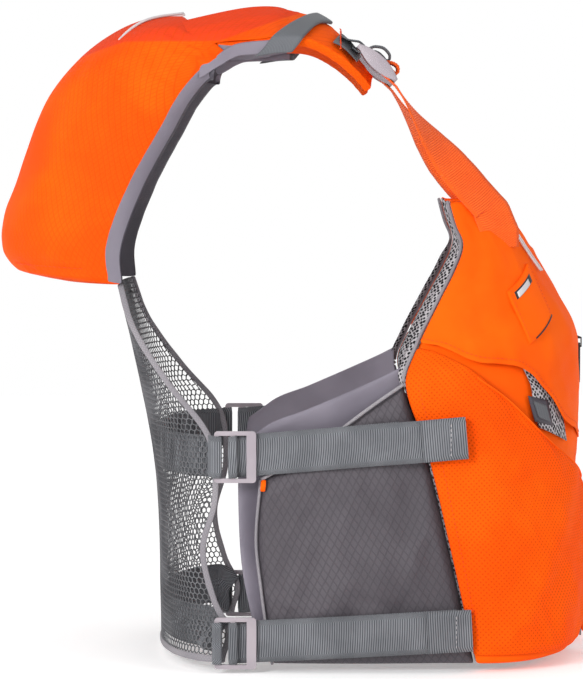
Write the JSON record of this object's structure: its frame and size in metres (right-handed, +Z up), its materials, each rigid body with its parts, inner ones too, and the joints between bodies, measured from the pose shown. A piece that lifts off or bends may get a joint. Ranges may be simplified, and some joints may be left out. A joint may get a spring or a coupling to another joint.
{
  "type": "life jacket",
  "caption": "High-back paddling life jacket with foam panels, mesh lower back, side and shoulder adjusters, zip front and pockets.",
  "frame": {"origin": "midpoint of the line on which the two shoulder pads rest on the wearer", "axes": "+Z up the wearer, +X towards the wearer's left, -Y towards the front"},
  "size_m": [0.3484, 0.5128, 0.5559],
  "materials": {
    "orange_cloth": "matte woven nylon",
    "orange_webbing": "ribbed webbing",
    "grey_ripstop": "ripstop weave",
    "grey_lining": "plain woven lining",
    "grey_webbing": "ribbed webbing",
    "grey_mesh": "open knitted mesh",
    "reflective_tape": "retroreflective coating",
    "buckle_plastic": "moulded acetal",
    "zip_black": "moulded",
    "zip_metal": "plated",
    "foam": "closed-cell foam"
  },
  "bodies": {
    "jacket": {"back_foam": "foam", "back_cover": "orange_cloth", "back_lining": "grey_lining", "back_gusset_left": "grey_lining", "back_gusset_right": "grey_lining", "back_hem": "orange_cloth", "back_mesh": "grey_mesh", "mesh_binding_left": "grey_webbing", "mesh_binding_right": "grey_webbing", "mesh_hem": "grey_webbing", "back_belt_upper": "grey_webbing", "back_belt_lower": "grey_webbing", "shoulder_pad_left": "orange_cloth", "shoulder_band_left": "reflective_tape", "shoulder_anchor_left": "reflective_tape", "shoulder_webbing_left": "orange_webbing", "chest_panel_left": "orange_cloth", "front_foam_left": "foam", "front_lining_left": "grey_lining", "front_hem_left": "orange_cloth", "armhole_gusset_left": "grey_lining", "pocket_panel_left": "orange_cloth", "front_zip_tape_left": "zip_black", "pocket_zip_left": "orange_cloth", "lash_tab_left": "orange_cloth", "wing_cover_left": "grey_ripstop", "wing_foam_left": "foam", "wing_lining_left": "grey_lining", "side_strap_upper_left": "grey_webbing", "side_strap_lower_left": "grey_webbing", "shoulder_pad_right": "orange_cloth", "shoulder_band_right": "reflective_tape", "shoulder_anchor_right": "reflective_tape", "shoulder_webbing_right": "orange_webbing", "chest_panel_right": "orange_cloth", "front_foam_right": "foam", "front_lining_right": "grey_lining", "front_hem_right": "orange_cloth", "armhole_gusset_right": "grey_lining", "pocket_panel_right": "orange_cloth", "front_zip_tape_right": "zip_black", "pocket_zip_right": "orange_cloth", "lash_tab_right": "orange_cloth", "wing_cover_right": "grey_ripstop", "wing_foam_right": "foam", "wing_lining_right": "grey_lining", "side_strap_upper_right": "grey_webbing", "side_strap_lower_right": "grey_webbing"},
    "front_slider": {"front_zip_slider": "zip_black"},
    "front_pull": {"front_zip_pull": "zip_black"},
    "pocket_slider_left": {"pocket_slider_left": "zip_metal"},
    "pocket_pull_left": {"pocket_pull_left": "zip_metal"},
    "buckle_upper_left": {"side_buckle_upper_left": "buckle_plastic"},
    "buckle_lower_left": {"side_buckle_lower_left": "buckle_plastic"},
    "adjuster_left": {"shoulder_adjuster_left": "buckle_plastic"},
    "pocket_slider_right": {"pocket_slider_right": "zip_metal"},
    "pocket_pull_right": {"pocket_pull_right": "zip_metal"},
    "buckle_upper_right": {"side_buckle_upper_right": "buckle_plastic"},
    "buckle_lower_right": {"side_buckle_lower_right": "buckle_plastic"},
    "adjuster_right": {"shoulder_adjuster_right": "buckle_plastic"}
  },
  "joints": [
    {"name": "front_zip_slide", "type": "slide", "parent": "jacket", "child": "front_slider", "axis": [0, 0, -1], "range_m": [0, 0.24]},
    {"name": "front_pull_swing", "type": "hinge", "parent": "front_slider", "child": "front_pull", "pos_m": [0, -0.25275, -0.2561], "axis": [-1, 0, 0], "range_deg": [0, 150]},
    {"name": "pocket_zip_slide_left", "type": "slide", "parent": "jacket", "child": "pocket_slider_left", "axis": [0, 0, 1], "range_m": [0, 0.088]},
    {"name": "pocket_pull_swing_left", "type": "hinge", "parent": "pocket_slider_left", "child": "pocket_pull_left", "pos_m": [0.045, -0.25842, -0.4981], "axis": [-1, 0, 0], "range_deg": [0, 150]},
    {"name": "buckle_upper_tilt_left", "type": "hinge", "parent": "jacket", "child": "buckle_upper_left", "pos_m": [0.166, 0.061, -0.342], "axis": [0, 0, 1], "range_deg": [0, 12], "deforming": ["side_strap_upper_left"]},
    {"name": "buckle_lower_tilt_left", "type": "hinge", "parent": "jacket", "child": "buckle_lower_left", "pos_m": [0.166, 0.061, -0.498], "axis": [0, 0, 1], "range_deg": [0, 12], "deforming": ["side_strap_lower_left"]},
    {"name": "adjuster_tilt_left", "type": "hinge", "parent": "jacket", "child": "adjuster_left", "pos_m": [0.086, -0.05887, 0.00064], "axis": [-1, 0, 0], "range_deg": [0, 12], "deforming": ["shoulder_webbing_left"]},
    {"name": "pocket_zip_slide_right", "type": "slide", "parent": "jacket", "child": "pocket_slider_right", "axis": [0, 0, 1], "range_m": [0, 0.088]},
    {"name": "pocket_pull_swing_right", "type": "hinge", "parent": "pocket_slider_right", "child": "pocket_pull_right", "pos_m": [-0.045, -0.25842, -0.4981], "axis": [-1, 0, 0], "range_deg": [0, 150]},
    {"name": "buckle_upper_tilt_right", "type": "hinge", "parent": "jacket", "child": "buckle_upper_right", "pos_m": [-0.166, 0.061, -0.342], "axis": [0, 0, -1], "range_deg": [0, 12], "deforming": ["side_strap_upper_right"]},
    {"name": "buckle_lower_tilt_right", "type": "hinge", "parent": "jacket", "child": "buckle_lower_right", "pos_m": [-0.166, 0.061, -0.498], "axis": [0, 0, -1], "range_deg": [0, 12], "deforming": ["side_strap_lower_right"]},
    {"name": "adjuster_tilt_right", "type": "hinge", "parent": "jacket", "child": "adjuster_right", "pos_m": [-0.086, -0.05887, 0.00064], "axis": [-1, 0, 0], "range_deg": [0, 12], "deforming": ["shoulder_webbing_right"]}
  ]
}
